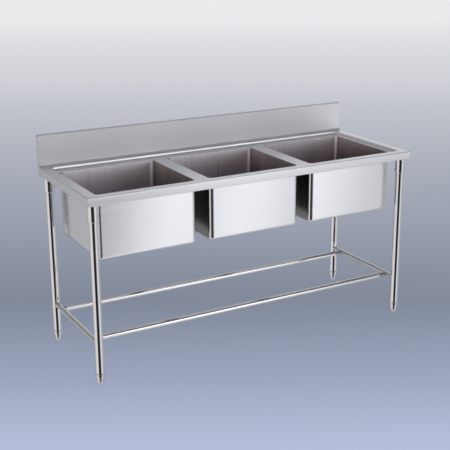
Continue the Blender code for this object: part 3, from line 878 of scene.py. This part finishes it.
# The floor is self-lit for the most part, so the sink leaves only a faint shadow on it. Its glow is painted
# light: a falloff from darkest grey-blue under the sink to pale lavender in front and near white far behind.
FLOOR_TONES = (
    (-16.0, shade(246, 246, 248)),
    (-7.8, shade(218, 220, 226)),
    (-3.85, shade(186, 190, 201)),
    (-1.76, shade(161, 167, 182)),
    (-0.32, shade(134, 142, 160)),
    (0.07, shade(144, 153, 174)),
    (0.61, shade(162, 171, 195)),
    (1.12, shade(184, 194, 221)),
    (4.0, shade(214, 219, 234)),
)
FLOOR_START, FLOOR_RUN = -16.0, 20.0
SELF_LIT = 0.86
LIT_SHARE = 0.16
floor_mesh = skin("floor", [circle(60.0, -0.05, 96), circle(60.0, -0.0005, 96)])
floor = loose("studio_floor", floor_mesh)
floor_paint_and_glow, floor_shader, floor_spot = blank_finish(
    "floor_paint_and_glow", Roughness=0.85, Specular_IOR_Level=0.0, Emission_Strength=SELF_LIT
)
x_part, y_part, _ = floor_spot.stretched((-math.sin(FACING), -math.cos(FACING), 0.0)).parts()
floor_tone = ((x_part + y_part - FLOOR_START) / FLOOR_RUN).ramp(
    *[((reach - FLOOR_START) / FLOOR_RUN, tone) for reach, tone in FLOOR_TONES]
)
feed(floor_shader, "Base Color", floor_tone.stretched((LIT_SHARE,) * 3))
feed(floor_shader, "Emission Color", floor_tone)
floor_mesh.materials.append(floor_paint_and_glow)
floor.visible_glossy = False

sight = Vector(
    (
        math.sin(FACING) * math.cos(CAMERA_FALL),
        math.cos(FACING) * math.cos(CAMERA_FALL),
        -math.sin(CAMERA_FALL),
    )
)
camera = loose("camera", bpy.data.cameras.new("camera"), (-2.1626, -3.8458, 1.9167))
camera.rotation_mode = "QUATERNION"
camera.rotation_quaternion = sight.to_track_quat("-Z", "Y")
camera.data.sensor_width = 36.0
camera.data.lens = 76.40
camera.data.shift_x = -0.0484
camera.data.shift_y = -0.0416
bpy.context.scene.camera = camera
bpy.context.scene.view_settings.view_transform = "Standard"


def softbox(name, location, target, size, power):
    lamp = bpy.data.lights.new(name, "AREA")
    lamp.shape = "RECTANGLE"
    lamp.size, lamp.size_y = size
    lamp.energy = power
    aim = Vector(target) - Vector(location)
    made = loose(name, lamp, location, aim.to_track_quat("-Z", "Y").to_euler())
    made.visible_camera = False
    made.visible_glossy = False


softbox("top_softbox", (-0.6, -0.8, 3.4), (0, 0, 0.6), (3.2, 2.2), 25)
softbox("front_softbox", (1.6, -3.2, 2.6), (0.2, 0.3, 0.9), (2.6, 1.2), 45)

# The room that the steel reflects. Its lower half is bright in front, grey at the left, and darker behind,
# with a near-black strip to the left of the front. Its upper half is dark, with a window band behind that
# grows brighter to the right, and a bright screen in front. Straight down is mid grey. right runs from -1 at
# the left end to 1 at the right end, and front from 0 behind the sink to 1 before it.
STRIP_BEARING = math.radians(26)
STRIP_EDGE = math.radians(33)
STRIP_CORE = math.radians(27)
room = bpy.data.worlds.new("studio_room")
bpy.context.scene.world = room
room.use_nodes = True
backdrop = room.node_tree.nodes["Background"]
east, north, up = Varying(room.node_tree).add("ShaderNodeTexCoord", output="Generated").parts()
level_squared = east * east + north * north + 1e-5
level = level_squared.maths("POWER", level_squared, 0.5)
right = east / level
front = (north / level) * -0.5 + 0.5
toward_strip = (east * -math.sin(STRIP_BEARING) + north * -math.cos(STRIP_BEARING)) / level
dark_strip = toward_strip.ramp((math.cos(STRIP_EDGE), 0.0), (math.cos(STRIP_CORE), 1.0))
straight_down = (up * -1.0).ramp((0.60, 0.0), (0.92, 1.0))
behind = front.ramp((0.13, 1.0), (0.25, 0.0))
behind_tone = (right * 0.5 + 0.5).ramp((0.35, 0.46), (0.60, 0.05))
front_tone = right.ramp(
    (0.30, 0.40), (0.36, 0.52), (0.42, 1.04), (0.54, 1.04), (0.64, 0.60), (0.80, 0.62), (0.95, 0.45)
)
front_tone = front_tone + (right * -1.0).ramp((0.05, 0.0), (0.3, 0.34))
low_band = (1 - behind) * front_tone + behind * behind_tone
low_band = low_band * (1 - dark_strip * 0.98)
low_band = low_band * (1 - straight_down) + straight_down * 0.55
window = right.ramp(
    (0.20, 0.12), (0.30, 0.30), (0.38, 0.46), (0.47, 0.54), (0.56, 0.62), (0.66, 0.52), (0.80, 0.60)
)
window = window * up.ramp((0.18, 0.85), (0.28, 1.15)) * front.ramp((0.30, 1.0), (0.46, 0.0))
window = window * up.ramp((0.45, 1.0), (0.70, 0.0))
screen = right.ramp((0.20, 0.4), (0.36, 1.0), (0.48, 1.0), (0.56, 0.1))
screen = front.ramp((0.52, 0.0), (0.72, 1.0)) * screen
screen = screen * up.ramp((0.10, 1.0), (0.42, 0.0)) * 2.9
high_band = window + screen + 0.15
horizon = (up * 8.0 + 0.5).ramp((0.0, 0.0), (1.0, 1.0))
bright = low_band * (1 - horizon) + high_band * horizon
far_left = (right * -1.0).ramp((0.75, 0.0), (0.95, 1.0))
tint = far_left.blend((0.955, 0.965, 1.0), (1.0, 0.965, 0.92))
feed(backdrop, "Color", tint.stretched(bright + 0.006))
